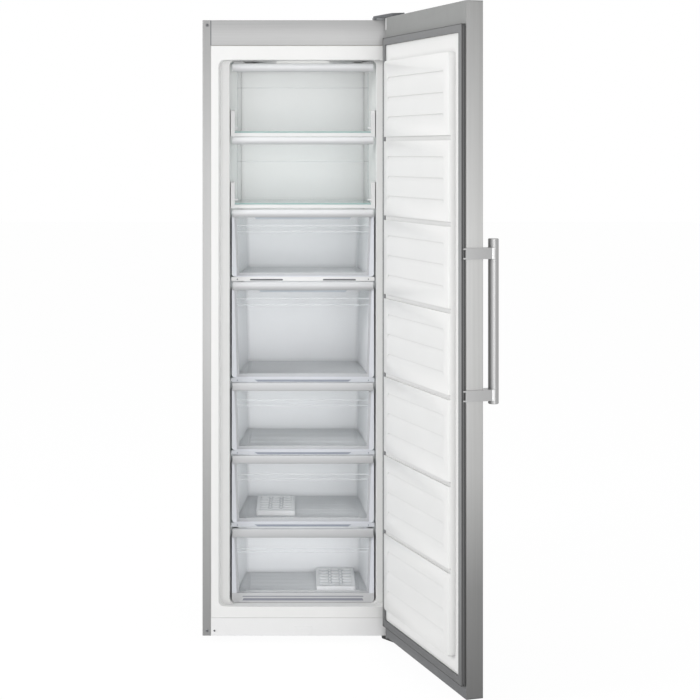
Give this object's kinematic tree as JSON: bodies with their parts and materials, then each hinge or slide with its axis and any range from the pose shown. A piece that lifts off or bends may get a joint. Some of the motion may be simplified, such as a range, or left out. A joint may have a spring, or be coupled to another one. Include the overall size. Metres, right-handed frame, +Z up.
{
  "type": "upright freezer",
  "caption": "Tall free-standing freezer with a right-hinged door and bar handle, standing open on clear flap compartments, glass shelves and pull-out drawers.",
  "frame": {"origin": "middle of the underside of the whole's bounding box, with the door standing open as stored", "axes": "+X to the viewer's right, +Y from the front of the cabinet to its back, +Z up"},
  "size_m": [0.8088, 1.1994, 1.859],
  "materials": {
    "cabinet_steel": "satin silver paint",
    "door_steel": "satin, fingerprint-proof steel",
    "bare_steel": "galvanised",
    "white_liner": "satin moulded plastic",
    "white_plastic": "fine moulded plastic",
    "clear_plastic": "clear moulded plastic",
    "shelf_glass": "toughened glass",
    "tray_plastic": "light grey moulded plastic",
    "seal_rubber": "soft seal",
    "grey_plastic": "dark grey moulded plastic",
    "black_parts": "black moulded plastic",
    "black_steel": "black paint",
    "insulation": "rigid foam",
    "finned_aluminium": "bare",
    "coated_tube": "copper-coated steel tube"
  },
  "bodies": {
    "cabinet": {"left_side_panel": "cabinet_steel", "right_side_panel": "cabinet_steel", "top_panel": "cabinet_steel", "top_front_rail": "cabinet_steel", "back_panel": "bare_steel", "inner_liner": "white_liner", "cabinet_foam": "insulation", "plinth_cover": "white_liner", "base_frame": "bare_steel", "evaporator_cover": "white_liner", "ceiling_duct": "white_liner", "light_cover": "clear_plastic", "glass_shelf_1": "shelf_glass", "glass_shelf_2": "shelf_glass", "glass_shelf_3": "shelf_glass", "glass_shelf_4": "shelf_glass", "glass_shelf_5": "shelf_glass", "glass_shelf_6": "shelf_glass", "flap_carrier_1": "white_plastic", "flap_carrier_2": "white_plastic", "evaporator": "finned_aluminium", "fan_shroud": "grey_plastic", "compressor": "black_steel", "drip_tray": "grey_plastic", "drain_tube": "white_plastic", "filter_drier": "coated_tube", "electronics_box": "white_plastic", "power_inlet": "black_parts", "condenser_coil": "coated_tube", "top_hinge": "bare_steel", "top_hinge_cover": "grey_plastic", "bottom_hinge": "black_steel"},
    "door": {"door_skin": "door_steel", "door_top_cap": "cabinet_steel", "door_bottom_cap": "cabinet_steel", "door_foam": "insulation", "door_liner": "white_liner", "door_gasket": "seal_rubber", "handle_bar": "door_steel", "upper_handle_bracket": "door_steel", "lower_handle_bracket": "door_steel"},
    "flap_1": {"flap_1": "clear_plastic"},
    "flap_2": {"flap_2": "clear_plastic"},
    "drawer_1": {"drawer_1_basket": "white_plastic", "drawer_1_front": "clear_plastic"},
    "drawer_2": {"drawer_2_basket": "white_plastic", "drawer_2_front": "clear_plastic"},
    "drawer_3": {"drawer_3_basket": "white_plastic", "drawer_3_front": "clear_plastic"},
    "drawer_4": {"drawer_4_basket": "white_plastic", "drawer_4_front": "clear_plastic", "ice_tray_left": "tray_plastic"},
    "drawer_5": {"drawer_5_basket": "white_plastic", "drawer_5_front": "clear_plastic", "ice_tray_right": "tray_plastic"},
    "fan": {"fan_rotor": "black_parts"},
    "left_foot": {"left_front_foot": "black_parts"},
    "right_foot": {"right_front_foot": "black_parts"},
    "left_roller": {"left_rear_roller": "black_parts"},
    "right_roller": {"right_rear_roller": "black_parts"}
  },
  "joints": [
    {"name": "door_hinge", "type": "hinge", "parent": "cabinet", "child": "door", "pos_m": [0.1693, -0.03477, 0.94], "axis": [0, 0, 1], "range_deg": [-107.6, 12]},
    {"name": "flap_1_hinge", "type": "hinge", "parent": "cabinet", "child": "flap_1", "pos_m": [-0.1087, 0.06073, 1.5233], "axis": [1, 0, 0], "range_deg": [0, 90]},
    {"name": "flap_2_hinge", "type": "hinge", "parent": "cabinet", "child": "flap_2", "pos_m": [-0.1087, 0.06073, 1.309], "axis": [1, 0, 0], "range_deg": [0, 90]},
    {"name": "drawer_1_slide", "type": "slide", "parent": "cabinet", "child": "drawer_1", "axis": [0, -1, 0], "range_m": [0, 0.3]},
    {"name": "drawer_2_slide", "type": "slide", "parent": "cabinet", "child": "drawer_2", "axis": [0, -1, 0], "range_m": [0, 0.3]},
    {"name": "drawer_3_slide", "type": "slide", "parent": "cabinet", "child": "drawer_3", "axis": [0, -1, 0], "range_m": [0, 0.3]},
    {"name": "drawer_4_slide", "type": "slide", "parent": "cabinet", "child": "drawer_4", "axis": [0, -1, 0], "range_m": [0, 0.3]},
    {"name": "drawer_5_slide", "type": "slide", "parent": "cabinet", "child": "drawer_5", "axis": [0, -1, 0], "range_m": [0, 0.2]},
    {"name": "fan_spin", "type": "hinge", "parent": "cabinet", "child": "fan", "pos_m": [-0.1087, 0.47923, 0.8], "axis": [0, 1, 0], "continuous": true},
    {"name": "left_foot_turn", "type": "hinge", "parent": "cabinet", "child": "left_foot", "pos_m": [-0.3637, 0.09723, 0.03], "axis": [0, 0, 1], "continuous": true},
    {"name": "right_foot_turn", "type": "hinge", "parent": "cabinet", "child": "right_foot", "pos_m": [0.1463, 0.09723, 0.03], "axis": [0, 0, 1], "continuous": true},
    {"name": "left_roller_spin", "type": "hinge", "parent": "cabinet", "child": "left_roller", "pos_m": [-0.3567, 0.56123, 0.016], "axis": [1, 0, 0], "continuous": true},
    {"name": "right_roller_spin", "type": "hinge", "parent": "cabinet", "child": "right_roller", "pos_m": [0.1393, 0.56123, 0.016], "axis": [1, 0, 0], "continuous": true}
  ]
}
